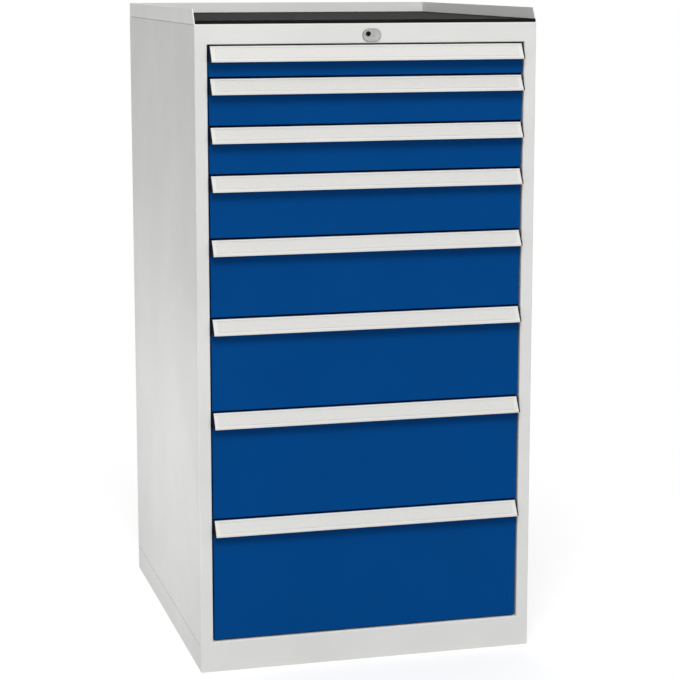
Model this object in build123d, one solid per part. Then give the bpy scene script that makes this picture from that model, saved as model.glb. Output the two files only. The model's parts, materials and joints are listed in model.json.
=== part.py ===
from build123d import *
import math
import os

# Floor-standing workshop cabinet with eight drawers, in millimetres.
# X runs across the front, Y from front to back, Z up.
# The origin is on the floor, under the middle of the whole cabinet.

# Carcass
body_width = 555.0
body_depth = 610.0
base_height = 42.0
bottom_rail_height = 8.0
lock_rail_height = 29.5
sheet = 1.5
bend_radius = 2.0
front_flange = 20.0
front_return = 15.0
lock_rail_shelf = 25.0

# Drawer modules from the top down, in steps of the slot pitch
slot_pitch = 25.0
drawer_modules = [50.0, 75.0, 75.0, 100.0, 125.0, 150.0, 175.0, 200.0]
stack_clearance = 1.0

# Base
foot_flange = 30.0
fixing_hole_radius = 4.5
fixing_access_width = 22.0

# Top tray and mat
rim_height = 24.5
rim_front_slant = 15.0
mat_thickness = 5.5
mat_margin = 0.3
mat_rib_pitch = 20.0
mat_groove_width = 3.0
mat_groove_depth = 0.8

# Back panel
back_sheet = 1.2
back_edge_fold = 8.0

# Drawer fronts
front_recess = 3.0
front_sheet = 1.5
front_pan_depth = 14.0
front_side_gap = 2.5
front_edge_gap = 1.5
front_edge_radius = 1.0
front_lip = 15.0

# Grip strips: a sloping face, a leg against the front and a nose at the foot
grip_reach = 15.0
grip_height = 24.0
grip_nose = 3.0
grip_top_width = 1.6
grip_wall = 1.8
grip_leg_wall = 1.5
grip_corner = 0.75
label_margin = 2.6
label_recess = 0.7
end_cap_width = 2.0

# Drawer trays
tray_sheet = 1.0
tray_side_gap = 11.0
tray_back_gap = 51.8
tray_bottom_gap = 6.0
tray_top_gap = 12.0
tray_rim = 7.0

# Telescopic runners
runner_centre_height = 20.0
runner_start_gap = 2.0
outer_height = 30.0
outer_depth = 10.0
outer_sheet = 1.5
outer_overrun = 4.0
outer_stop_gap = 0.4
middle_height = 22.0
middle_depth = 7.2
middle_sheet = 1.2
middle_web_gap = 3.0
inner_height = 15.0
inner_depth = 7.3
inner_sheet = 1.2
running_gap = 0.3
cage_width = 4.0
cage_length = 250.0
cage_end_gap = 8.0
cage_side_gap = 0.2

# Slotted uprights and the hooks that hang in them
upright_width = 36.0
upright_sheet = 1.2
upright_from_front = 37.0
upright_from_runner_end = 12.0
flange_cover = 2.0
upright_top_gap = 8.0
slot_width = 3.0
slot_height = 12.0
hook_width = 2.4
hook_height = 8.0
hook_gap = 0.3
hook_lip = 1.4
hook_drop = 3.0

# Lock
lock_x = -2.0
lock_plate_width = 30.0
lock_plate_height = 20.0
lock_plate_drop = 2.0
lock_plate_thickness = 2.5
lock_plate_edge = 0.8
barrel_width = 26.0
barrel_height = 14.0
barrel_length = 24.0
barrel_gap = 0.25
cylinder_radius = 5.6
cylinder_gap = 0.2
cylinder_proud = 0.6
key_slot_width = 1.8
key_slot_height = 7.0
key_slot_depth = 6.0
tenon_size = 5.0
tenon_length = 5.0
tenon_gap = 0.15
clip_width = 40.0
clip_height = 24.0
clip_notch_gap = 2.0
shaft_radius = 4.0
shaft_bearing_gap = 0.3
bearing_sheet = 2.0
bearing_width = 34.0
bearing_foot = 12.0
bearing_drop = 8.0
bearing_bend = 2.5

# Crank and locking bar
crank_radius = 9.0
crank_half_turn = 45.0
crank_sheet = 3.0
crank_margin = 4.0
crank_bar_gap = 2.5
pin_radius = 2.5
pin_slot_gap = 0.4
pin_overrun = 1.5
bar_width = 30.0
bar_sheet = 2.5
bar_from_back = 13.0
bar_foot_margin = 10.0
head_margin = 2.4

# Rear catches of the drawers and tongues of the locking bar
catch_reach = 24.0
catch_sheet = 2.0
catch_width = 20.0
catch_height = 16.0
catch_from_bottom = 2.0
tooth_gap = 3.2
tongue_tooth = 8.0
tongue_bridge = 8.0
catch_gap = 2.0
bridge_gap = 3.0

# Guide blocks of the locking bar
guide_width = 46.0
guide_height = 14.0
guide_front_wall = 2.5
guide_gap = 0.3

# Sizes that follow from the ones above
half_width = body_width / 2
grip_overhang = grip_reach - front_recess
overall_depth = body_depth + grip_overhang
front_y = -overall_depth / 2 + grip_overhang
back_y = overall_depth / 2
inner_half_width = half_width - sheet
opening_half_width = half_width - front_flange
opening_bottom = base_height + bottom_rail_height
stack_height = sum(drawer_modules)
opening_top = opening_bottom + stack_height + 2 * stack_clearance
body_height = opening_top + lock_rail_height
lock_z = opening_top + lock_rail_height / 2

front_face_y = front_y + front_recess
front_half_width = opening_half_width - front_side_gap
tray_front_y = front_face_y + front_pan_depth
tray_back_y = back_y - back_sheet - tray_back_gap
tray_length = tray_back_y - tray_front_y
tray_half_width = opening_half_width - tray_side_gap

upright_depth = inner_half_width - opening_half_width - outer_sheet - flange_cover
upright_face_x = inner_half_width - upright_depth
upright_front_y = front_y + upright_from_front + upright_width / 2
runner_start_y = tray_front_y + runner_start_gap
middle_end_y = tray_back_y
outer_end_y = middle_end_y + outer_overrun
upright_rear_y = outer_end_y - upright_from_runner_end - upright_width / 2
middle_outer_x = upright_face_x - outer_sheet - middle_web_gap

bar_front_y = back_y - back_sheet - bar_from_back - bar_sheet
catch_end_y = tray_back_y + catch_reach
tongue_front_y = catch_end_y - catch_sheet - tooth_gap - tongue_tooth
barrel_x = lock_x + (barrel_width - barrel_height) / 2
crank_drop = crank_radius * math.sin(math.radians(crank_half_turn))
crank_lift = 2 * crank_drop


def module_bottoms():
    """Height of the lower edge of each drawer module, from the top drawer down."""
    bottoms = []
    level = opening_top - stack_clearance
    for module in drawer_modules:
        level -= module
        bottoms.append(level)
    return bottoms


def block(x_range, y_range, z_range):
    """Rectangular solid between two limits on each axis."""
    size = [high - low for low, high in (x_range, y_range, z_range)]
    centre = [(high + low) / 2 for low, high in (x_range, y_range, z_range)]
    return Pos(*centre) * Box(*size)


def folded(plane, corners, thickness, radius, length, side=Side.LEFT):
    """Sheet folded along a line of corners, then drawn out along the plane's normal."""
    line = FilletPolyline(*corners, radius=radius)
    section = make_face(offset(line, amount=thickness, side=side).edges())
    return extrude(plane * section, amount=length)


def profile(plane, corners, thickness, length, side=Side.LEFT):
    """Thin section with sharp corners, drawn out along the plane's normal."""
    outline = offset(Polyline(*corners), amount=thickness, side=side, kind=Kind.INTERSECTION)
    return extrude(plane * make_face(outline.edges()), amount=length)


def mirrored_pair(solid):
    """The solid and its twin on the other side of the cabinet."""
    return [solid, mirror(solid, about=Plane.YZ)]


def rod(radius, start_y, end_y, x, z):
    """Round rod along Y."""
    return Pos(x, (start_y + end_y) / 2, z) * Rot(90, 0, 0) * Cylinder(radius, end_y - start_y)


# Carcass panels
def side_panel():
    """Right side: wall, front flange and the flange's return, folded from one sheet."""
    corners = [
        (half_width, back_y),
        (half_width, front_y),
        (opening_half_width, front_y),
        (opening_half_width, front_y + front_return),
    ]
    plane = Plane.XY.offset(base_height)
    return folded(plane, corners, sheet, bend_radius, body_height - base_height, Side.RIGHT)


def back_panel():
    """Rear sheet between the side walls, with both long edges folded forward."""
    corners = [
        (-inner_half_width, back_y - back_edge_fold),
        (-inner_half_width, back_y),
        (inner_half_width, back_y),
        (inner_half_width, back_y - back_edge_fold),
    ]
    plane = Plane.XY.offset(base_height)
    height = body_height - base_height - sheet
    return folded(plane, corners, back_sheet, bend_radius, height, Side.RIGHT)


def top_panel():
    """Sheet that closes the body, with its front edge folded down and notched at the lock."""
    corners = [
        (front_y + sheet, body_height - front_return),
        (front_y + sheet, body_height),
        (back_y, body_height),
    ]
    plane = Plane.YZ.offset(-inner_half_width)
    panel = folded(plane, corners, sheet, bend_radius, 2 * inner_half_width, Side.RIGHT)
    fold_z = (body_height - front_return, body_height)
    relief_y = (front_y, front_y + front_return)
    panel -= block((opening_half_width, half_width), relief_y, fold_z)
    panel -= block((-half_width, -opening_half_width), relief_y, fold_z)
    notch = clip_width / 2 + clip_notch_gap
    notch_x = (barrel_x - notch, barrel_x + notch)
    return panel - block(notch_x, relief_y, (body_height - front_return, body_height - sheet))


def fixing_points():
    """Places of the four floor-fixing holes, in the middle of the foot flanges."""
    inset = foot_flange / 2 + sheet
    spread_x = half_width - inset
    spread_y = body_depth / 2 - inset
    middle_y = (front_y + back_y) / 2
    return [(x, middle_y + y) for x in (-spread_x, spread_x) for y in (-spread_y, spread_y)]


def base_plinth():
    """Hollow base: floor above, skirts all round and foot flanges turned in at the bottom."""
    shell = block((-half_width, half_width), (front_y, back_y), (0, base_height))
    shell = fillet(shell.edges().filter_by(Axis.Z), bend_radius)
    cavity = block(
        (-inner_half_width, inner_half_width),
        (front_y + sheet, back_y - sheet),
        (sheet, base_height - sheet),
    )
    window = block(
        (-half_width + foot_flange, half_width - foot_flange),
        (front_y + foot_flange, back_y - foot_flange),
        (0, sheet),
    )
    shell = shell - cavity - window
    for x, y in fixing_points():
        shell -= Pos(x, y, sheet / 2) * Cylinder(fixing_hole_radius, sheet)
        shell -= Pos(x, y, base_height - sheet / 2) * Box(fixing_access_width, fixing_access_width, sheet)
    return shell


def bottom_rail():
    """Front cross-member under the lowest drawer, a channel open to the rear."""
    corners = [
        (front_y + front_return, opening_bottom),
        (front_y, opening_bottom),
        (front_y, base_height),
        (front_y + front_return, base_height),
    ]
    plane = Plane.YZ.offset(-opening_half_width)
    return folded(plane, corners, sheet, bend_radius, 2 * opening_half_width, Side.LEFT)


def lock_rail():
    """Front cross-member above the top drawer, with the cut-out for the lock barrel."""
    corners = [
        (front_y, body_height),
        (front_y, opening_top),
        (front_y + lock_rail_shelf, opening_top),
    ]
    plane = Plane.YZ.offset(-opening_half_width)
    rail = folded(plane, corners, sheet, bend_radius, 2 * opening_half_width, Side.LEFT)
    barrel = barrel_outline(barrel_gap)
    return rail - extrude(Plane.XZ.offset(-front_y) * barrel, amount=-2 * sheet)


# Top tray and mat
def top_tray():
    """Tray on the body: folded up into a rim at both sides and the back, slanted at its front ends."""
    tray = block((-half_width, half_width), (front_y, back_y), (body_height, body_height + rim_height))
    rear_corners = tray.edges().filter_by(Axis.Z).group_by(Axis.Y)[-1]
    lower_folds = tray.edges().group_by(Axis.Z)[0].sort_by(Axis.Y)[1:]
    tray = fillet([*rear_corners, *lower_folds], bend_radius)
    hollow = block(
        (-inner_half_width, inner_half_width),
        (front_y, back_y - sheet),
        (body_height + sheet, body_height + rim_height),
    )
    slant = Plane.YZ.offset(-half_width) * make_face(
        Polyline(
            (front_y, body_height + sheet),
            (front_y, body_height + rim_height),
            (front_y + rim_front_slant, body_height + rim_height),
            close=True,
        )
    )
    return tray - hollow - extrude(slant, amount=body_width)


def top_mat():
    """Rubber mat in the tray, flush with its open front, with shallow grooves along Y."""
    mat_half_width = inner_half_width - mat_margin
    low = body_height + sheet
    high = low + mat_thickness
    mat = block((-mat_half_width, mat_half_width), (front_y, back_y - sheet - mat_margin), (low, high))
    groove_count = int(mat_half_width / mat_rib_pitch)
    for index in range(-groove_count, groove_count + 1):
        x = index * mat_rib_pitch
        mat -= block(
            (x - mat_groove_width / 2, x + mat_groove_width / 2),
            (front_y, back_y),
            (high - mat_groove_depth, high),
        )
    return mat


# Uprights and runners
def upright_places():
    return [upright_front_y, upright_rear_y]


def upright(centre_y):
    """Right-hand channel, open to the side wall, with a row of hanging slots in its web."""
    low_y = centre_y - upright_width / 2
    high_y = centre_y + upright_width / 2
    corners = [
        (inner_half_width, low_y),
        (upright_face_x, low_y),
        (upright_face_x, high_y),
        (inner_half_width, high_y),
    ]
    height = opening_top - upright_top_gap - base_height
    plane = Plane.XY.offset(base_height)
    channel = profile(plane, corners, upright_sheet, height, Side.RIGHT)
    first_slot = opening_bottom + stack_clearance + runner_centre_height
    count = int((height - (first_slot - base_height) - slot_height) / slot_pitch) + 1
    slots = [
        Pos(upright_face_x + upright_sheet / 2, centre_y, first_slot + index * slot_pitch)
        * Box(2 * upright_sheet, slot_width, slot_height)
        for index in range(count)
    ]
    return channel - slots


def hook(centre_y, centre_z):
    """Hook of an outer member: through the slot, then down behind the upright's web."""
    slot_foot = centre_z - slot_height / 2
    base_z = slot_foot + hook_gap
    behind = upright_face_x + upright_sheet + hook_gap
    outline = make_face(
        Polyline(
            (upright_face_x, base_z),
            (behind, base_z),
            (behind, slot_foot - hook_drop),
            (behind + hook_lip, slot_foot - hook_drop),
            (behind + hook_lip, base_z + hook_height),
            (upright_face_x, base_z + hook_height),
            close=True,
        )
    )
    return extrude(Plane.XZ.offset(-centre_y) * outline, amount=hook_width / 2, both=True)


def runner_channel(web_x, open_x, height, thickness, start_y, end_y, centre_z):
    """Runner member with a C section: its web at web_x and its flanges reaching to open_x."""
    low = centre_z - height / 2
    high = centre_z + height / 2
    corners = [(open_x, low), (web_x, low), (web_x, high), (open_x, high)]
    side = Side.LEFT if web_x > open_x else Side.RIGHT
    return profile(Plane.XZ.offset(-end_y), corners, thickness, end_y - start_y, side)


def outer_member(centre_z):
    """Right-hand fixed member with its rear stop and its two hooks."""
    open_x = upright_face_x - outer_depth
    member = runner_channel(
        upright_face_x, open_x, outer_height, outer_sheet, runner_start_y, outer_end_y, centre_z
    )
    inside = outer_height / 2 - outer_sheet
    member += block(
        (open_x, upright_face_x - outer_sheet),
        (middle_end_y + outer_stop_gap, outer_end_y),
        (centre_z - inside, centre_z + inside),
    )
    for centre_y in upright_places():
        member += hook(centre_y, centre_z)
    return member


def middle_member(centre_z):
    """Right-hand middle member and its four ball cages."""
    open_x = middle_outer_x - middle_depth
    member = runner_channel(
        middle_outer_x, open_x, middle_height, middle_sheet, runner_start_y, middle_end_y, centre_z
    )
    outer_cage_start = upright_face_x - outer_depth + cage_side_gap
    inner_cage_start = open_x + cage_side_gap
    outer_cage_x = (outer_cage_start, outer_cage_start + cage_width)
    inner_cage_x = (inner_cage_start, inner_cage_start + cage_width)
    rear_span = (middle_end_y - cage_end_gap - cage_length, middle_end_y - cage_end_gap)
    front_span = (runner_start_y + cage_end_gap, runner_start_y + cage_end_gap + cage_length)
    outer_low = middle_height / 2
    outer_high = outer_height / 2 - outer_sheet - running_gap
    inner_low = inner_height / 2 + running_gap
    inner_high = middle_height / 2 - middle_sheet
    solids = [member]
    for cage_x, span, low, high in (
        (outer_cage_x, rear_span, outer_low, outer_high),
        (inner_cage_x, front_span, inner_low, inner_high),
    ):
        solids.append(block(cage_x, span, (centre_z + low, centre_z + high)))
        solids.append(block(cage_x, span, (centre_z - high, centre_z - low)))
    return solids


# Drawers
def drawer_front(bottom, module):
    """Front pan: its edges are folded back and end in lips that lie against the tray."""
    low = bottom + front_edge_gap
    high = bottom + module - front_edge_gap
    pan = block((-front_half_width, front_half_width), (front_face_y, tray_front_y), (low, high))
    pan = fillet(pan.faces().sort_by(Axis.Y)[0].edges(), front_edge_radius)
    hollow = block(
        (-front_half_width + front_sheet, front_half_width - front_sheet),
        (front_face_y + front_sheet, tray_front_y - front_sheet),
        (low + front_sheet, high - front_sheet),
    )
    window = block(
        (-front_half_width + front_lip, front_half_width - front_lip),
        (tray_front_y - front_sheet, tray_front_y),
        (low + front_lip, high - front_lip),
    )
    return pan - hollow - window


def grip_points(top):
    """Corners of the grip strip's outside: top edge, sloping face, nose and foot."""
    face = front_face_y
    return {
        "top_back": (face, top),
        "top_front": (face - grip_top_width, top),
        "slope_foot": (face - grip_reach, top - grip_height + grip_nose),
        "nose_foot": (face - grip_reach, top - grip_height),
    }


def grip_profile(top):
    """Section of the extruded grip strip, with the shallow channel that holds its label."""
    points = grip_points(top)
    face = front_face_y
    slope_y = points["slope_foot"][0] - points["top_front"][0]
    slope_z = points["slope_foot"][1] - points["top_front"][1]
    slope_length = (slope_y ** 2 + slope_z ** 2) ** 0.5
    along = (slope_y / slope_length, slope_z / slope_length)
    inward = (-along[1], along[0])
    if inward[1] > 0:
        inward = (-inward[0], -inward[1])

    def on_slope(distance, depth):
        """Point at a distance down the sloping face and a depth under it."""
        start = points["top_front"]
        return (
            start[0] + along[0] * distance + inward[0] * depth,
            start[1] + along[1] * distance + inward[1] * depth,
        )

    nose_back = (face - grip_reach + grip_wall, top - grip_height)
    inner_slope_y = nose_back[0]
    start_inner = on_slope(0, grip_wall)
    run = (inner_slope_y - start_inner[0]) / along[0]
    inner_slope_foot = on_slope(run, grip_wall)
    leg_run = (face - grip_leg_wall - start_inner[0]) / along[0]
    inner_slope_top = on_slope(leg_run, grip_wall)
    section = make_face(
        Polyline(
            points["top_back"],
            points["top_front"],
            points["slope_foot"],
            points["nose_foot"],
            nose_back,
            inner_slope_foot,
            inner_slope_top,
            (face - grip_leg_wall, top - grip_height + grip_nose),
            (face, top - grip_height + grip_nose),
            close=True,
        )
    )
    label_channel = make_face(
        Polyline(
            on_slope(label_margin, -label_recess),
            on_slope(slope_length - label_margin, -label_recess),
            on_slope(slope_length - label_margin, label_recess),
            on_slope(label_margin, label_recess),
            close=True,
        )
    )
    return section - label_channel


def drawer_handle(top):
    """Grip strip between the two end caps."""
    half_length = front_half_width - end_cap_width
    plane = Plane.YZ.offset(-half_length)
    return extrude(plane * grip_profile(top), amount=2 * half_length)


def end_cap(top):
    """Right-hand cap that closes the end of the grip strip."""
    points = grip_points(top)
    outline = make_face(
        Polyline(
            points["top_back"],
            points["top_front"],
            points["slope_foot"],
            points["nose_foot"],
            (front_face_y, points["nose_foot"][1]),
            close=True,
        )
    )
    nose = [corner for corner in outline.vertices() if corner.X < front_face_y - grip_reach / 2]
    outline = chamfer(nose, grip_corner)
    plane = Plane.YZ.offset(front_half_width - end_cap_width)
    return extrude(plane * outline, amount=end_cap_width)


def rear_catch(bottom):
    """Pocket behind the tray: a leg on the rear wall, a shelf and an upturned end for the hook."""
    low = bottom + tray_bottom_gap + catch_from_bottom
    corners = [
        (tray_back_y, low + catch_height),
        (tray_back_y, low),
        (catch_end_y, low),
        (catch_end_y, low + catch_height),
    ]
    plane = Plane.YZ.offset(tongue_x() - catch_width / 2)
    return profile(plane, corners, catch_sheet, catch_width, Side.LEFT)


def tray_side(low, high):
    """Right side wall: a C profile with its rim above and the floor's ledge below."""
    corners = [
        (tray_half_width - tray_rim, low),
        (tray_half_width, low),
        (tray_half_width, high),
        (tray_half_width - tray_rim, high),
    ]
    return profile(Plane.XZ.offset(-tray_back_y), corners, tray_sheet, tray_length, Side.LEFT)


def tray_end(low, high, outer_y, inward):
    """Front or rear wall between the sides, its rim and ledge notched clear of theirs."""
    inner_half = tray_half_width - tray_sheet
    rim_half = tray_half_width - tray_rim
    wall_y = sorted((outer_y, outer_y + inward * tray_sheet))
    rim_y = sorted((outer_y, outer_y + inward * tray_rim))
    wall = block((-inner_half, inner_half), wall_y, (low + tray_sheet, high - tray_sheet))
    wall += block((-rim_half, rim_half), rim_y, (low, low + tray_sheet))
    wall += block((-rim_half, rim_half), rim_y, (high - tray_sheet, high))
    return wall


def drawer_tray(bottom, module):
    """Walls and floor of a drawer, with its inner runner members and its rear catch."""
    low = bottom + tray_bottom_gap
    high = bottom + module - tray_top_gap
    floor = block(
        (-tray_half_width + tray_sheet, tray_half_width - tray_sheet),
        (tray_front_y + tray_sheet, tray_back_y - tray_sheet),
        (low + tray_sheet, low + 2 * tray_sheet),
    )
    inner_member = runner_channel(
        tray_half_width,
        tray_half_width + inner_depth,
        inner_height,
        inner_sheet,
        tray_front_y,
        tray_back_y,
        bottom + runner_centre_height,
    )
    ends = [tray_end(low, high, tray_front_y, 1), tray_end(low, high, tray_back_y, -1)]
    sides = mirrored_pair(tray_side(low, high))
    return [floor, *sides, *ends, *mirrored_pair(inner_member), rear_catch(bottom)]


# Lock
def barrel_outline(gap):
    """Section of the lock barrel with a clearance round it."""
    return Pos(barrel_x, lock_z) * SlotOverall(barrel_width + 2 * gap, barrel_height + 2 * gap)


def lock_housing():
    """Oblong front plate and the barrel behind it, with the cylinder in its left round end."""
    front_plane = Plane.XZ.offset(-front_y)
    plate_centre = Pos(barrel_x, lock_z - lock_plate_drop)
    outline = plate_centre * SlotOverall(lock_plate_width, lock_plate_height)
    plate = extrude(front_plane * outline, amount=lock_plate_thickness)
    plate = chamfer(plate.faces().sort_by(Axis.Y)[0].edges(), lock_plate_edge)
    housing = plate + extrude(front_plane * barrel_outline(0), amount=-barrel_length)
    bore = cylinder_radius + cylinder_gap
    return housing - rod(bore, front_y - lock_plate_thickness, front_y + barrel_length, lock_x, lock_z)


def lock_clip():
    """Plate pushed over the barrel behind the lock rail."""
    plane = Plane.XZ.offset(-(front_y + sheet))
    plate = extrude(plane * Pos(barrel_x, lock_z) * Rectangle(clip_width, clip_height), amount=-sheet)
    return plate - extrude(plane * barrel_outline(barrel_gap), amount=-sheet)


def lock_cylinder():
    """Turning cylinder with its key slot in front and a square socket behind."""
    start_y = front_y - lock_plate_thickness - cylinder_proud
    end_y = front_y + barrel_length
    cylinder = rod(cylinder_radius, start_y, end_y, lock_x, lock_z)
    slot = Pos(lock_x, start_y + key_slot_depth / 2, lock_z) * Box(
        key_slot_width, key_slot_depth, key_slot_height
    )
    socket = Pos(lock_x, end_y - tenon_length / 2, lock_z) * Box(
        tenon_size + 2 * tenon_gap, tenon_length, tenon_size + 2 * tenon_gap
    )
    return cylinder - slot - socket


def crank_start_y():
    return bar_front_y - crank_sheet - crank_bar_gap


def lock_shaft():
    """Rod from the cylinder to the crank, with a square tenon in front."""
    start_y = front_y + barrel_length
    shaft = rod(shaft_radius, start_y, crank_start_y(), lock_x, lock_z)
    tenon = Pos(lock_x, start_y - tenon_length / 2 + tenon_gap, lock_z) * Box(
        tenon_size, tenon_length, tenon_size
    )
    return shaft + tenon


def pin_place():
    """Centre of the crank pin when the bar is up."""
    return (lock_x + crank_drop, lock_z + crank_drop)


def lock_crank():
    """Crank arm on the end of the shaft with the pin that lifts the bar."""
    start_y = crank_start_y()
    plane = Plane.XZ.offset(-start_y)
    arm = SlotCenterToCenter(crank_radius, 2 * (pin_radius + crank_margin / 2), rotation=crank_half_turn)
    middle = (lock_x + crank_drop / 2, lock_z + crank_drop / 2)
    crank = extrude(plane * Pos(*middle) * arm, amount=-crank_sheet)
    pin_x, pin_z = pin_place()
    pin_end = bar_front_y + bar_sheet + pin_overrun
    return crank + rod(pin_radius, start_y + crank_sheet, pin_end, pin_x, pin_z)


def shaft_bearing():
    """Angle bracket under the top panel with the bore that carries the shaft's rear end."""
    face_y = crank_start_y() - bearing_sheet - running_gap
    ceiling = body_height - sheet
    corners = [
        (face_y - bearing_foot, ceiling),
        (face_y + bearing_sheet, ceiling),
        (face_y + bearing_sheet, lock_z - bearing_drop),
    ]
    plane = Plane.YZ.offset(lock_x - bearing_width / 2)
    bracket = folded(plane, corners, bearing_sheet, bearing_bend, bearing_width, Side.RIGHT)
    bore = shaft_radius + shaft_bearing_gap
    return bracket - rod(bore, face_y - bearing_foot, face_y + bearing_sheet, lock_x, lock_z)


# Locking bar
def tongue_x():
    """Middle of the hooks along X, at the bar's right edge."""
    return bar_width / 2 - bar_sheet / 2


def catch_top(bottom):
    """Top of a drawer's rear catch."""
    return bottom + tray_bottom_gap + catch_from_bottom + catch_height


def bridge_foot(bottom):
    """Underside of a tongue's bridge when the bar is up."""
    return catch_top(bottom) + crank_lift + bridge_gap


def tongue(bottom):
    """Hook welded to the bar for one drawer, raised clear of the drawer's catch."""
    tooth_foot = catch_top(bottom) + catch_gap
    low = bridge_foot(bottom)
    outline = make_face(
        Polyline(
            (bar_front_y, low),
            (tongue_front_y + tongue_tooth, low),
            (tongue_front_y + tongue_tooth, tooth_foot),
            (tongue_front_y, tooth_foot),
            (tongue_front_y, low + tongue_bridge),
            (bar_front_y, low + tongue_bridge),
            close=True,
        )
    )
    plane = Plane.YZ.offset(tongue_x())
    return extrude(plane * outline, amount=bar_sheet / 2, both=True)


def bar_ends():
    """Lowest and highest point of the locking bar when it is up."""
    top = pin_place()[1] + pin_radius + pin_slot_gap + head_margin
    return bridge_foot(module_bottoms()[-1]) - bar_foot_margin, top


def locking_bar():
    """Flat bar with the crank's slot in its head, and one welded hook for each drawer."""
    low, high = bar_ends()
    bar = block((-bar_width / 2, bar_width / 2), (bar_front_y, bar_front_y + bar_sheet), (low, high))
    pin_x, pin_z = pin_place()
    slot_start = pin_x - pin_slot_gap
    slot_end = lock_x + crank_radius + pin_slot_gap
    slot_half = pin_radius + pin_slot_gap
    plane = Plane.XZ.offset(-bar_front_y)
    slot = SlotOverall(slot_end - slot_start + 2 * slot_half, 2 * slot_half)
    bar -= extrude(plane * Pos((slot_start + slot_end) / 2, pin_z) * slot, amount=-bar_sheet)
    return [bar] + [tongue(bottom) for bottom in module_bottoms()]


def guide_heights():
    """Middle of each guide block: beside the top of the second drawer and of every third one below."""
    modules = list(zip(module_bottoms(), drawer_modules))
    return [bottom + module - guide_height for bottom, module in modules[1::3]]


def guide_block(centre_z):
    """Block on the back panel with the slot in which the bar slides."""
    back = back_y - back_sheet
    front = bar_front_y - guide_gap - guide_front_wall
    low = centre_z - guide_height / 2
    high = centre_z + guide_height / 2
    solid = block((-guide_width / 2, guide_width / 2), (front, back), (low, high))
    half_slot = bar_width / 2 + guide_gap
    solid -= block(
        (-half_slot, half_slot),
        (bar_front_y - guide_gap, bar_front_y + bar_sheet + guide_gap),
        (low, high),
    )
    return solid


# Writing the parts
def write(name, solids):
    """One STEP file for a named node, whether it is one solid or several."""
    solids = solids if isinstance(solids, list) else [solids]
    flat = [solid for item in solids for solid in item.solids()]
    shape = flat[0] if len(flat) == 1 else Compound(children=flat)
    export_step(shape, os.path.join("parts", name + ".step"))


os.makedirs("parts", exist_ok=True)

right_side = side_panel()
write("side_panel_right", right_side)
write("side_panel_left", mirror(right_side, about=Plane.YZ))
write("back_panel", back_panel())
write("top_panel", top_panel())
write("base_plinth", base_plinth())
write("bottom_rail", bottom_rail())
write("lock_rail", lock_rail())
write("top_tray", top_tray())
write("top_mat", top_mat())

uprights = []
for place in upright_places():
    uprights += mirrored_pair(upright(place))
write("slotted_uprights", uprights)

outer_members = []
for number, (bottom, module) in enumerate(zip(module_bottoms(), drawer_modules), start=1):
    centre_z = bottom + runner_centre_height
    outer_members += mirrored_pair(outer_member(centre_z))
    middle_solids = []
    for solid in middle_member(centre_z):
        middle_solids += mirrored_pair(solid)
    write(f"runner_{number}_middle", middle_solids)
    top = bottom + module - front_edge_gap
    write(f"drawer_{number}_tray", drawer_tray(bottom, module))
    write(f"drawer_{number}_front", drawer_front(bottom, module))
    write(f"drawer_{number}_handle", drawer_handle(top))
    write(f"drawer_{number}_end_caps", mirrored_pair(end_cap(top)))
write("runners_outer", outer_members)

write("lock_housing", lock_housing())
write("lock_clip", lock_clip())
write("lock_cylinder", lock_cylinder())
write("lock_shaft", lock_shaft())
write("lock_crank", lock_crank())
write("shaft_bearing", shaft_bearing())
write("locking_bar", locking_bar())
write("bar_guides", [guide_block(height) for height in guide_heights()])
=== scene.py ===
import json
import math

import bmesh
import bpy
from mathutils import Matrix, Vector

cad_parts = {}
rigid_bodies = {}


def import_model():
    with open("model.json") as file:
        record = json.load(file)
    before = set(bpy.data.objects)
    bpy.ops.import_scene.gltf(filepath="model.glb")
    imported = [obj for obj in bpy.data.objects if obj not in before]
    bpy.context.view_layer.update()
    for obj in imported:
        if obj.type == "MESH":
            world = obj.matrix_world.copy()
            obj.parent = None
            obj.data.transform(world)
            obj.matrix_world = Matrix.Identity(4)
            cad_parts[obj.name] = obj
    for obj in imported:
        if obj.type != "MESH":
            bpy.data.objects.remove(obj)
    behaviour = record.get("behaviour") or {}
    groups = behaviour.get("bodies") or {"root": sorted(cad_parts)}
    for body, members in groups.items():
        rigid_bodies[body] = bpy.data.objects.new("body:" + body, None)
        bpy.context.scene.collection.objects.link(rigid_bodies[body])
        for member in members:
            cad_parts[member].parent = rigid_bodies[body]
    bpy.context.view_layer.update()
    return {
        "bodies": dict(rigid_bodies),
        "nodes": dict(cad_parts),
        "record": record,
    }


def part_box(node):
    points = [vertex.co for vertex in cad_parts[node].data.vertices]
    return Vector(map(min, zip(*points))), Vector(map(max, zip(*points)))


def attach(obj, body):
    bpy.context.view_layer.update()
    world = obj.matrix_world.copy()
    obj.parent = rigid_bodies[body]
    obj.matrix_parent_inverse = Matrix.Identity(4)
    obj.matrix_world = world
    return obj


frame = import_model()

# Picture and camera: the photograph's viewpoint, in pixels, metres and degrees
SENSOR_MM = 36.0
FRAME_PIXELS = 680.0
FOCAL_PIXELS = 2024.0
CAMERA_PLACE = (-0.8693, -3.3636, 1.1133)
CAMERA_YAW = 15.02
CAMERA_PITCH = -9.40
CAMERA_SHIFT_Y = -0.05

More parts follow.
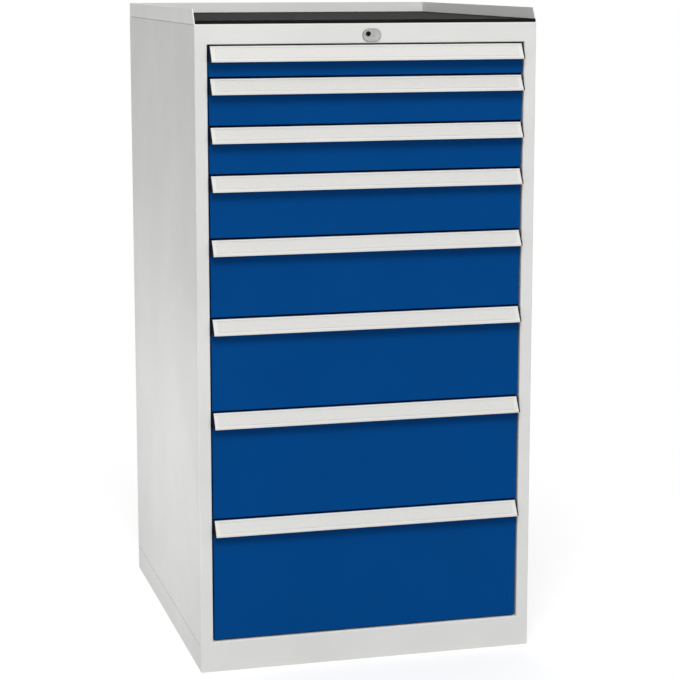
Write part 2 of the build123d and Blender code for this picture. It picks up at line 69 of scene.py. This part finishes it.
# Lamps: a wide front fill, a high key, a low light on the left side, a top and a back light. Each
# has its place, the point that it faces and its width and height, in metres, and its watts.
LAMPS = {
    "front": {
        "place": (1.0, -8.4, 1.3),
        "target": (0.0, 0.0, 0.5),
        "size": (6.0, 4.4),
        "watts": 80.0,
    },
    "key": {
        "place": (-1.6, -6.8, 7.4),
        "target": (0.0, 0.0, 0.6),
        "size": (4.4, 3.6),
        "watts": 540.0,
    },
    "side": {
        "place": (-0.75, 0.0, 0.33),
        "target": (-0.28, 0.0, 0.33),
        "size": (0.9, 0.12),
        "watts": 1.18,
    },
    "top": {
        "place": (-0.3, -0.1, 3.0),
        "target": (0.0, 0.1, 1.0),
        "size": (1.2, 0.8),
        "watts": 4.0,
    },
    "back": {
        "place": (1.4, 3.4, 1.4),
        "target": (0.0, 0.0, 0.5),
        "size": (2.4, 2.0),
        "watts": 40.0,
    },
}
WORLD_LIGHT = 0.46

# Floor
FLOOR_SIZE = 14.0
FLOOR_COLOUR = 0.55
FLOOR_ROUGHNESS = 0.85
FLOOR_GLOW = 0.50
FLOOR_FADE_START = 0.55
FLOOR_FADE_END = 1.3

# Colours, linear
WHITE = (1.0, 1.0, 1.0, 1.0)
GREY_PAINT = (0.72, 0.72, 0.705)
# The top tray's grey is a lighter copy of the body's grey: painted light on rims that the dark mat
# leaves unlit
TOP_TRAY_PAINTED_LIGHT = (0.81, 0.81, 0.795)
TRAY_PAINT = (0.58, 0.585, 0.58)
BLUE_PAINT = (0.0006, 0.0565, 0.229)
GRIP_COLOUR = (0.72, 0.712, 0.69)
LABEL_COLOUR = (0.66, 0.655, 0.63)
ZINC_COLOUR = (0.56, 0.575, 0.59)
NICKEL_COLOUR = (0.275, 0.275, 0.27)
RUBBER_COLOUR = (0.010, 0.010, 0.0104)
PLASTIC_COLOUR = (0.006, 0.006, 0.007)

# Values of a noise between which a colour varies, and the scale of drawn lines along their axis
NOISE_LOW = 0.3
NOISE_HIGH = 0.7
LINE_STRETCH = 0.02

# Grip strips, in the sizes of their solids, and the labels in their channels
GRIP_TOP_WIDTH = 0.0016
GRIP_NOSE = 0.003
LABEL_MARGIN = 0.0026
LABEL_RECESS = 0.0007
LABEL_SIDE_GAP = 0.0004
LABEL_END_INSET = 0.0065
LABEL_THICKNESS = 0.0005
LABEL_CORNER = 0.0015
LABEL_CORNER_STEPS = 5
LABEL_EDGE = 0.0001
LABEL_EDGE_STEPS = 2

# Black disc round the key slot, with a plug that fills the slot and a narrower keyway in it; the
# plug's black lining of the slot is painted shade inside the keyway.
# The disc narrows to its front past the straight share of its thickness. The slots' outlines follow
# a power that would give a rectangle at 0 and an ellipse at 1.
CAP_RADIUS = 0.0040
CAP_FRONT_SHARE = 0.93
CAP_THICKNESS = 0.0004
CAP_STRAIGHT_SHARE = 0.6
CAP_PLUG = (0.0017, 0.0069)
CAP_PLUG_DEPTH = 0.0055
CAP_KEYWAY = (0.0011, 0.0060)
CAP_KEYWAY_DEPTH = 0.0045
CAP_SLOT_POWER = 0.5
CAP_STEPS = 64
CAP_STEP_OFFSET = 0.5

# Welded joints of the front frame, ground flush: a bead is thin on its inward side and grows
# deeper towards the round of the bend
JOINT_WIDTH = 0.0023
JOINT_PROUD = 0.00005
JOINT_THIN_DEPTH = 0.0001
JOINT_MIDDLE_SHARE = 0.35
JOINT_MIDDLE_DEPTH = 0.0008
JOINT_FULL_DEPTH = 0.0016
JOINT_LAP = 0.0003
JOINT_END_GAP = 0.0001

# Hairline where each side panel stands on the base: a dark bead that paints the shade in the joint
SEAM_HALF_HEIGHT = 0.00025
SEAM_PROUD = 0.00001
SEAM_DEPTH = 0.0002
SEAM_END_INSET = 0.004
SEAM_TAPER = 0.001
SEAM_END_SIZE = 0.4
SEAM_STEPS = 12

# Screw heads of the guide blocks and the bearing bracket. A head's profile goes from its seat to
# its flat top, in shares of its radius and height. The least cosine keeps a division off zero.
SCREW_RADIUS = 0.0031
SCREW_HEIGHT = 0.0022
SCREW_PROFILE = ((1.0, 0.0), (1.0, 0.45), (0.93, 0.8), (0.75, 1.0))
SCREW_ARM_WIDTH = 0.0011
SCREW_ARM_LENGTH = 0.0034
SCREW_RECESS = 0.0012
SCREW_RECESS_SHARE = 0.7
SCREW_STEPS = 48
LEAST_COSINE = 1e-6
GUIDE_SCREW_X = 0.0192
BLOCK_GAP = 0.05
HEIGHT_DIGITS = 5
BEARING_SHEET = 0.002
BEARING_SCREW_X = 0.011
BEARING_SCREW_INSET = 0.0055


def link(tree, source, target):
    """Joins two node sockets."""
    tree.links.new(source, target)


def new_material(name, colour, roughness, metallic=0.0, specular=0.5):
    """Principled material whose constant values sit on the shader's own sockets."""
    material = bpy.data.materials.new(name)
    material.use_nodes = True
    shader = material.node_tree.nodes["Principled BSDF"]
    shader.inputs["Base Color"].default_value = (*colour, 1.0)
    shader.inputs["Roughness"].default_value = roughness
    shader.inputs["Metallic"].default_value = metallic
    shader.inputs["Specular IOR Level"].default_value = specular
    return material, material.node_tree, shader


def noise(tree, scale, detail=3.0, stretch=(1.0, 1.0, 1.0)):
    """Noise in the object's own metres; stretch scales each axis."""
    place = tree.nodes.new("ShaderNodeTexCoord")
    mapping = tree.nodes.new("ShaderNodeMapping")
    texture = tree.nodes.new("ShaderNodeTexNoise")
    mapping.inputs["Scale"].default_value = stretch
    texture.inputs["Scale"].default_value = scale
    texture.inputs["Detail"].default_value = detail
    link(tree, place.outputs["Object"], mapping.inputs["Vector"])
    link(tree, mapping.outputs["Vector"], texture.inputs["Vector"])
    return texture.outputs["Fac"]


def spread(tree, value, low, high):
    """Maps a value from 0..1 to low..high."""
    node = tree.nodes.new("ShaderNodeMapRange")
    node.inputs["To Min"].default_value = low
    node.inputs["To Max"].default_value = high
    link(tree, value, node.inputs["Value"])
    return node.outputs["Result"]


def tinted(colour, factor):
    """A colour made darker or lighter by a factor."""
    return tuple(channel * factor for channel in colour)


def vary_colour(tree, shader, value, colour, darkest, lightest):
    """Varies the base colour with a noise, between two factors of it."""
    node = tree.nodes.new("ShaderNodeValToRGB")
    low, high = node.color_ramp.elements
    low.position = NOISE_LOW
    high.position = NOISE_HIGH
    low.color = (*tinted(colour, darkest), 1.0)
    high.color = (*tinted(colour, lightest), 1.0)
    link(tree, value, node.inputs["Fac"])
    link(tree, node.outputs["Color"], shader.inputs["Base Color"])


def vary_roughness(tree, shader, value, smoothest, roughest):
    """Varies the roughness with a noise."""
    link(tree, spread(tree, value, smoothest, roughest), shader.inputs["Roughness"])


def bump(tree, height, distance, strength, over=None):
    """Normal of a relief whose height is in metres, laid over the normal of another one."""
    node = tree.nodes.new("ShaderNodeBump")
    node.inputs["Distance"].default_value = distance
    node.inputs["Strength"].default_value = strength
    link(tree, height, node.inputs["Height"])
    if over is not None:
        link(tree, over, node.inputs["Normal"])
    return node.outputs["Normal"]


def powder_coat(name, colour, roughness=0.50, grain=0.30, specular=0.25):
    """Powder-coated sheet: fine orange peel, slow waves of the sheet and uneven gloss."""
    material, tree, shader = new_material(name, colour, roughness, specular=specular)
    cloudy = noise(tree, scale=7.0, detail=4.0)
    vary_colour(tree, shader, cloudy, colour, darkest=0.965, lightest=1.03)
    gloss = noise(tree, scale=36.0, detail=5.0)
    vary_roughness(tree, shader, gloss, smoothest=roughness - 0.06, roughest=roughness + 0.07)
    fine = noise(tree, scale=620.0, detail=2.0)
    coarse = noise(tree, scale=210.0, detail=2.0)
    waves = noise(tree, scale=3.2, detail=1.0)
    fine_peel = bump(tree, fine, distance=0.00012, strength=grain)
    peel = bump(tree, coarse, distance=0.0004, strength=grain * 0.5, over=fine_peel)
    sheet = bump(tree, waves, distance=0.004, strength=0.10, over=peel)
    link(tree, sheet, shader.inputs["Normal"])
    return material


def drawn_metal(name, colour, roughness, along, grain):
    """Metal with cloudy flowers and fine lines along one axis, 0 for X and 1 for Y."""
    material, tree, shader = new_material(name, colour, roughness, metallic=1.0)
    stretch = [1.0, 1.0, 1.0]
    stretch[along] = LINE_STRETCH
    lines = noise(tree, scale=900.0, detail=3.0, stretch=stretch)
    flowers = noise(tree, scale=60.0, detail=3.0)
    vary_colour(tree, shader, flowers, colour, darkest=0.86, lightest=1.1)
    vary_roughness(tree, shader, lines, smoothest=roughness - 0.10, roughest=roughness + 0.12)
    dents = noise(tree, scale=120.0, detail=2.0)
    drawn = bump(tree, lines, distance=0.0001, strength=grain)
    dented = bump(tree, dents, distance=0.0002, strength=0.10, over=drawn)
    link(tree, dented, shader.inputs["Normal"])
    return material


def moulded_plastic(name, colour, roughness):
    """Fine spark-eroded moulding texture."""
    material, tree, shader = new_material(name, colour, roughness, specular=0.06)
    gloss = noise(tree, scale=90.0)
    vary_roughness(tree, shader, gloss, smoothest=roughness - 0.06, roughest=roughness + 0.08)
    vary_colour(tree, shader, noise(tree, scale=40.0), colour, darkest=0.85, lightest=1.25)
    eroded = bump(tree, noise(tree, scale=1400.0, detail=2.0), distance=0.0001, strength=0.35)
    link(tree, eroded, shader.inputs["Normal"])
    return material


def rubber_mat(name, colour):
    """Rubber with fine pebbling and a dusty bloom."""
    material, tree, shader = new_material(name, colour, roughness=0.7, specular=0.01)
    dust = noise(tree, scale=14.0, detail=6.0)
    vary_colour(tree, shader, dust, colour, darkest=0.8, lightest=1.35)
    vary_roughness(tree, shader, noise(tree, scale=50.0), smoothest=0.66, roughest=0.86)
    pebbles = noise(tree, scale=800.0, detail=2.0)
    dents = noise(tree, scale=240.0, detail=2.0)
    pebbled = bump(tree, pebbles, distance=0.0003, strength=0.45)
    dented = bump(tree, dents, distance=0.0004, strength=0.2, over=pebbled)
    link(tree, dented, shader.inputs["Normal"])
    return material


def label_card(name, colour):
    """Blank label card under a clear film: paper tone with a thin clear coat."""
    material, tree, shader = new_material(name, colour, roughness=0.5, specular=0.2)
    shader.inputs["Coat Weight"].default_value = 0.15
    shader.inputs["Coat Roughness"].default_value = 0.2
    fibres = noise(tree, scale=500.0, detail=4.0, stretch=(0.25, 1.0, 1.0))
    vary_colour(tree, shader, fibres, colour, darkest=0.97, lightest=1.02)
    waves = noise(tree, scale=60.0, detail=2.0, stretch=(0.2, 1.0, 1.0))
    link(tree, bump(tree, waves, distance=0.0006, strength=0.12), shader.inputs["Normal"])
    return material


MATERIALS = {
    "light_grey_paint": powder_coat("light_grey_paint", GREY_PAINT),
    "tray_paint": powder_coat("tray_paint", TRAY_PAINT, roughness=0.52),
    "blue_paint": powder_coat("blue_paint", BLUE_PAINT, grain=0.26, specular=0.02),
    "grip_coat": powder_coat("grip_coat", GRIP_COLOUR, roughness=0.42, grain=0.14),
    "zinc_steel": drawn_metal("zinc_steel", ZINC_COLOUR, roughness=0.34, along=1, grain=0.25),
    "nickel": drawn_metal("nickel", NICKEL_COLOUR, roughness=0.26, along=0, grain=0.12),
    "black_rubber": rubber_mat("black_rubber", RUBBER_COLOUR),
    "black_plastic": moulded_plastic("black_plastic", PLASTIC_COLOUR, roughness=0.5),
}
LABEL_MATERIAL = label_card("label_card", LABEL_COLOUR)
# Lighter copy of the grey powder coat, painting light onto the top tray's rims
TOP_TRAY_PAINTED_LIGHT_MATERIAL = powder_coat("top_tray_painted_light", TOP_TRAY_PAINTED_LIGHT)


def dress_frame():
    """Gives each CAD node the material of its record slot, and the top tray a lighter grey: painted
    light.
    """
    for subpart in frame["record"]["subparts"]:
        node = frame["nodes"][subpart["node"]]
        node.data.materials.clear()
        node.data.materials.append(MATERIALS[subpart["material_slot"]])
    frame["nodes"]["top_tray"].data.materials[0] = TOP_TRAY_PAINTED_LIGHT_MATERIAL


def point_along(thing, direction):
    """Turns a lamp or camera so that it looks in a direction."""
    thing.rotation_euler = direction.to_track_quat("-Z", "Y").to_euler()


def make_camera():
    """The photograph's viewpoint."""
    camera = bpy.data.cameras.new("camera")
    camera.sensor_fit = "HORIZONTAL"
    camera.sensor_width = SENSOR_MM
    camera.lens = SENSOR_MM * FOCAL_PIXELS / FRAME_PIXELS
    camera.shift_y = CAMERA_SHIFT_Y
    thing = bpy.data.objects.new("camera", camera)
    bpy.context.scene.collection.objects.link(thing)
    thing.location = CAMERA_PLACE
    yaw = math.radians(CAMERA_YAW)
    pitch = math.radians(CAMERA_PITCH)
    level = math.cos(pitch)
    point_along(thing, Vector((math.sin(yaw) * level, math.cos(yaw) * level, math.sin(pitch))))
    bpy.context.scene.camera = thing


def area_lamp(name, place, target, size, watts):
    """Soft rectangular lamp at a place, facing a target."""
    lamp = bpy.data.lights.new(name, "AREA")
    lamp.shape = "RECTANGLE"
    lamp.size, lamp.size_y = size
    lamp.energy = watts
    thing = bpy.data.objects.new(name, lamp)
    bpy.context.scene.collection.objects.link(thing)
    thing.location = place
    thing.visible_camera = False
    point_along(thing, Vector(target) - thing.location)


def make_lights():
    """All the lamps of the studio light."""
    for name, values in LAMPS.items():
        area_lamp(name, **values)


def larger(tree, first, second):
    """The larger of two values, which is an or of two ray kinds."""
    node = tree.nodes.new("ShaderNodeMath")
    node.operation = "MAXIMUM"
    link(tree, first, node.inputs[0])
    link(tree, second, node.inputs[1])
    return node.outputs["Value"]


def seen_directly(tree):
    """1 for camera, glossy and transmission rays, which show the plain white background."""
    path = tree.nodes.new("ShaderNodeLightPath")
    seen = larger(tree, path.outputs["Is Camera Ray"], path.outputs["Is Glossy Ray"])
    return larger(tree, seen, path.outputs["Is Transmission Ray"])


def make_world():
    """Even pale light; the camera and reflections see plain white."""
    world = bpy.data.worlds.new("studio")
    bpy.context.scene.world = world
    world.use_nodes = True
    tree = world.node_tree
    background = tree.nodes["Background"]
    background.inputs["Color"].default_value = WHITE
    strength = spread(tree, seen_directly(tree), WORLD_LIGHT, 1.0)
    link(tree, strength, background.inputs["Strength"])


def fade_out(tree):
    """0 near the cabinet and 1 far out on the floor."""
    place = tree.nodes.new("ShaderNodeTexCoord")
    distance = tree.nodes.new("ShaderNodeVectorMath")
    distance.operation = "LENGTH"
    link(tree, place.outputs["Object"], distance.inputs[0])
    fade = tree.nodes.new("ShaderNodeMapRange")
    fade.interpolation_type = "SMOOTHSTEP"
    fade.inputs["From Min"].default_value = FLOOR_FADE_START
    fade.inputs["From Max"].default_value = FLOOR_FADE_END
    link(tree, distance.outputs["Value"], fade.inputs["Value"])
    return fade.outputs["Result"]


def floor_material():
    """White floor with the cabinet's soft shadow, which runs out into the background."""
    colour = (FLOOR_COLOUR,) * 3
    material, tree, shader = new_material("floor", colour, FLOOR_ROUGHNESS, specular=0.0)
    seen = seen_directly(tree)
    shader.inputs["Emission Color"].default_value = WHITE
    link(tree, spread(tree, seen, 0.0, FLOOR_GLOW), shader.inputs["Emission Strength"])
    share = tree.nodes.new("ShaderNodeMath")
    share.operation = "MULTIPLY"
    link(tree, fade_out(tree), share.inputs[0])
    link(tree, seen, share.inputs[1])
    white = tree.nodes.new("ShaderNodeEmission")
    mixed = tree.nodes.new("ShaderNodeMixShader")
    link(tree, share.outputs["Value"], mixed.inputs["Fac"])
    link(tree, shader.outputs["BSDF"], mixed.inputs[1])
    link(tree, white.outputs["Emission"], mixed.inputs[2])
    link(tree, mixed.outputs["Shader"], tree.nodes["Material Output"].inputs["Surface"])
    return material


def make_floor():
    """Plain square floor under the cabinet."""
    half = FLOOR_SIZE / 2
    corners = [(-half, -half, 0.0), (half, -half, 0.0), (half, half, 0.0), (-half, half, 0.0)]
    mesh = bpy.data.meshes.new("floor")
    mesh.from_pydata(corners, [], [(0, 1, 2, 3)])
    mesh.materials.append(floor_material())
    floor = bpy.data.objects.new("floor", mesh)
    bpy.context.scene.collection.objects.link(floor)


def add_piece(name, shape, slot, body, material=None):
    """Turns a bmesh into a piece that rides on a body, in its slot's material or another one."""
    bmesh.ops.recalc_face_normals(shape, faces=shape.faces)
    mesh = bpy.data.meshes.new(name)
    shape.to_mesh(mesh)
    shape.free()
    mesh.materials.append(MATERIALS[slot] if material is None else material)
    piece = bpy.data.objects.new(name, mesh)
    bpy.context.scene.collection.objects.link(piece)
    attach(piece, body)


def ring_angles(steps, offset=0.0):
    """Evenly spaced angles all round a ring; the first lies a share of a step past zero."""
    return [2.0 * math.pi * (step + offset) / steps for step in range(steps)]


def bridge(shape, rings):
    """Closes the first and last ring with a face and joins each ring to the next."""
    shape.faces.new(rings[0])
    shape.faces.new(rings[-1])
    for ring, following in zip(rings, rings[1:]):
        for step in range(len(ring)):
            after = (step + 1) % len(ring)
            shape.faces.new((ring[step], ring[after], following[after], following[step]))


def rounded_outline(left, right, low, high, radius):
    """Outline of a rectangle with round corners, as points in its own plane."""
    points = []
    corners = [(right, high, 0), (left, high, 90), (left, low, 180), (right, low, 270)]
    for x, y, start in corners:
        centre_x = x - radius if x == right else x + radius
        centre_y = y - radius if y == high else y + radius
        for step in range(LABEL_CORNER_STEPS + 1):
            angle = math.radians(start + 90.0 * step / LABEL_CORNER_STEPS)
            across = radius * math.cos(angle)
            up = radius * math.sin(angle)
            points.append((centre_x + across, centre_y + up))
    return points


def drawer_numbers():
    """Numbers of the drawers, counted from the frame's bodies."""
    return [int(name.split("_")[1]) for name in frame["bodies"] if name.startswith("drawer_")]


def label_strip(number):
    """Blank label card in the channel of a grip strip's sloping face."""
    low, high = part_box(f"drawer_{number}_handle")
    start = Vector((0.0, high[1] - GRIP_TOP_WIDTH, high[2]))
    foot = Vector((0.0, low[1], low[2] + GRIP_NOSE))
    slope = foot - start
    along = slope.normalized()
    inward = Vector((0.0, -along[2], along[1]))
    if inward[1] < 0.0:
        inward = -inward
    side = LABEL_MARGIN + LABEL_SIDE_GAP
    left = low[0] + LABEL_END_INSET
    right = high[0] - LABEL_END_INSET
    outline = rounded_outline(left, right, side, slope.length - side, LABEL_CORNER)
    depth = LABEL_RECESS - LABEL_EDGE

    shape = bmesh.new()
    corners = [
        shape.verts.new(start + along * distance + inward * depth + Vector((x, 0.0, 0.0)))
        for x, distance in outline
    ]
    base = shape.faces.new(corners)
    raised = bmesh.ops.extrude_face_region(shape, geom=[base])["geom"]
    moved = [item for item in raised if isinstance(item, bmesh.types.BMVert)]
    bmesh.ops.translate(shape, verts=moved, vec=-inward * LABEL_THICKNESS)
    top = next(item for item in raised if isinstance(item, bmesh.types.BMFace))
    edges = list(top.edges)
    bmesh.ops.bevel(shape, geom=edges, offset=LABEL_EDGE, segments=LABEL_EDGE_STEPS, affect="EDGES")
    add_piece(f"label_{number}", shape, "grip_coat", f"drawer_{number}", LABEL_MATERIAL)


def slot_outline(width, height):
    """Outline of an upright slot with rounded corners, about its middle."""
    points = []
    for angle in ring_angles(CAP_STEPS, CAP_STEP_OFFSET):
        x = math.copysign(abs(math.cos(angle)) ** CAP_SLOT_POWER, math.cos(angle)) * width / 2
        z = math.copysign(abs(math.sin(angle)) ** CAP_SLOT_POWER, math.sin(angle)) * height / 2
        points.append((x, z))
    return points


def disc_outline(radius):
    """Outline of a disc about its middle, with as many points as a slot has."""
    angles = ring_angles(CAP_STEPS, CAP_STEP_OFFSET)
    return [(radius * math.cos(angle), radius * math.sin(angle)) for angle in angles]


def key_disc_and_keyway_shade():
    """Black disc on the lock cylinder, and a black lining of its key slot that paints the keyway's
    shade.
    """
    low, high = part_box("lock_cylinder")
    middle_x = (low[0] + high[0]) / 2
    middle_z = (low[2] + high[2]) / 2
    face_y = low[1]
    front_y = face_y - CAP_THICKNESS
    sections = [
        (slot_outline(*CAP_PLUG), face_y + CAP_PLUG_DEPTH),
        (slot_outline(*CAP_PLUG), face_y),
        (disc_outline(CAP_RADIUS), face_y),
        (disc_outline(CAP_RADIUS), face_y - CAP_THICKNESS * CAP_STRAIGHT_SHARE),
        (disc_outline(CAP_RADIUS * CAP_FRONT_SHARE), front_y),
        (slot_outline(*CAP_KEYWAY), front_y),
        (slot_outline(*CAP_KEYWAY), front_y + CAP_KEYWAY_DEPTH),
    ]
    shape = bmesh.new()
    rings = [
        [shape.verts.new((middle_x + x, y, middle_z + z)) for x, z in outline]
        for outline, y in sections
    ]
    bridge(shape, rings)
    add_piece("key_disc_and_keyway_shade", shape, "black_plastic", "lock")


def joint_strip(name, start, end, inward):
    """Ground weld in the groove beside a bend, from start to end and wider on its inward side."""
    start = Vector(start)
    end = Vector(end)
    inward = Vector(inward)
    depth = Vector((0.0, 1.0, 0.0))
    outline = [
        inward * -JOINT_LAP - depth * JOINT_PROUD,
        inward * JOINT_WIDTH - depth * JOINT_PROUD,
        inward * JOINT_WIDTH + depth * JOINT_THIN_DEPTH,
        inward * JOINT_WIDTH * JOINT_MIDDLE_SHARE + depth * JOINT_MIDDLE_DEPTH,
        inward * -JOINT_LAP + depth * JOINT_FULL_DEPTH,
    ]
    shape = bmesh.new()
    first = [shape.verts.new(start + offset) for offset in outline]
    last = [shape.verts.new(end + offset) for offset in outline]
    bridge(shape, [first, last])
    add_piece(name, shape, "light_grey_paint", "root")


def front_joints():
    """Ground joints of both rails with the side flanges and of the bottom rail with the base."""
    for rail, name, reach in (
        ("lock_rail", "joint_top", -JOINT_END_GAP),
        ("bottom_rail", "joint_low", JOINT_LAP),
    ):
        low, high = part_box(rail)
        for side, x, inward in (("left", low[0], -1.0), ("right", high[0], 1.0)):
            start = (x, low[1], low[2] - reach)
            end = (x, low[1], high[2] - JOINT_END_GAP)
            joint_strip(f"{name}_{side}", start, end, (inward, 0.0, 0.0))
    low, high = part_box("bottom_rail")
    start = (low[0] + JOINT_LAP, low[1], low[2])
    end = (high[0] - JOINT_LAP, low[1], low[2])
    joint_strip("joint_foot", start, end, (0.0, 0.0, 1.0))


def seam_ring(shape, x, y, z, outward, size):
    """Ring round a hairline's bead, which is barely proud on its outward side and deeper inward."""
    ring = []
    for angle in ring_angles(SEAM_STEPS):
        reach = SEAM_PROUD if math.cos(angle) > 0.0 else SEAM_DEPTH
        offset = outward * math.cos(angle) * reach * size
        ring.append(shape.verts.new((x + offset, y, z + math.sin(angle) * SEAM_HALF_HEIGHT * size)))
    return ring


def painted_seam_shades():
    """Dark beads between the side panels and the base, from bend to bend: painted shade of the
    joints.
    """
    for side, edge, outward in (("left", 0, -1.0), ("right", 1, 1.0)):
        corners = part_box(f"side_panel_{side}")
        low, high = corners
        front = low[1] + SEAM_END_INSET
        back = high[1] - SEAM_END_INSET
        sections = [
            (front, SEAM_END_SIZE),
            (front + SEAM_TAPER, 1.0),
            (back - SEAM_TAPER, 1.0),
            (back, SEAM_END_SIZE),
        ]
        shape = bmesh.new()
        x = corners[edge][0]
        bridge(shape, [seam_ring(shape, x, y, low[2], outward, size) for y, size in sections])
        add_piece(f"painted_seam_shade_{side}", shape, "black_rubber", "root")


def cross_radius(angle, width, length):
    """Distance from the middle of a cross to its outline."""
    across = max(abs(math.cos(angle)), LEAST_COSINE)
    along = max(abs(math.sin(angle)), LEAST_COSINE)
    first_arm = min(length / 2 / across, width / 2 / along)
    second_arm = min(length / 2 / along, width / 2 / across)
    return max(first_arm, second_arm)


def screw_head(shape, place, outward):
    """Pan head with a cross recess, seated at a place and facing outward."""
    place = Vector(place)
    outward = Vector(outward)
    across = outward.orthogonal().normalized()
    along = outward.cross(across)
    angles = ring_angles(SCREW_STEPS)

    def ring(radii, height):
        """Ring of points at a height over the seat, with a radius for each angle."""
        points = []
        for angle, radius in zip(angles, radii):
            offset = across * math.cos(angle) * radius + along * math.sin(angle) * radius
            points.append(shape.verts.new(place + offset + outward * height))
        return points

    def cross(share, height):
        """Ring round the cross recess, at a share of its full size."""
        width = SCREW_ARM_WIDTH * share
        length = SCREW_ARM_LENGTH * share
        return ring([cross_radius(angle, width, length) for angle in angles], height)

    rings = [
        ring([SCREW_RADIUS * share] * SCREW_STEPS, SCREW_HEIGHT * rise)
        for share, rise in SCREW_PROFILE
    ]
    rings.append(cross(1.0, SCREW_HEIGHT))
    rings.append(cross(SCREW_RECESS_SHARE, SCREW_HEIGHT - SCREW_RECESS))
    bridge(shape, rings)


def block_heights(node):
    """Middle heights of the separate blocks of a node, from its mesh."""
    thing = frame["nodes"][node]
    points = [thing.matrix_world @ vertex.co for vertex in thing.data.vertices]
    heights = sorted({round(point.z, HEIGHT_DIGITS) for point in points})
    middles = []
    start = heights[0]
    for height, following in zip(heights, heights[1:] + [math.inf]):
        if following - height > BLOCK_GAP:
            middles.append((start + height) / 2)
            start = following
    return middles


def guide_screws():
    """Screws of the bar's guide blocks on the back panel, one on each side of a block."""
    low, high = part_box("bar_guides")
    middle_x = (low[0] + high[0]) / 2
    shape = bmesh.new()
    for height in block_heights("bar_guides"):
        for side in (-1.0, 1.0):
            screw_head(shape, (middle_x + side * GUIDE_SCREW_X, low[1], height), (0.0, -1.0, 0.0))
    add_piece("guide_screws", shape, "zinc_steel", "root")


def bearing_screws():
    """Screws under the foot of the lock shaft's bearing bracket."""
    low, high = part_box("shaft_bearing")
    middle_x = (low[0] + high[0]) / 2
    y = low[1] + BEARING_SCREW_INSET
    z = high[2] - BEARING_SHEET
    shape = bmesh.new()
    for side in (-1.0, 1.0):
        screw_head(shape, (middle_x + side * BEARING_SCREW_X, y, z), (0.0, 0.0, -1.0))
    add_piece("bearing_screws", shape, "zinc_steel", "root")


make_camera()
make_world()
make_lights()
make_floor()
bpy.context.scene.view_settings.view_transform = "Standard"
dress_frame()
for drawer in drawer_numbers():
    label_strip(drawer)
key_disc_and_keyway_shade()
front_joints()
painted_seam_shades()
guide_screws()
bearing_screws()
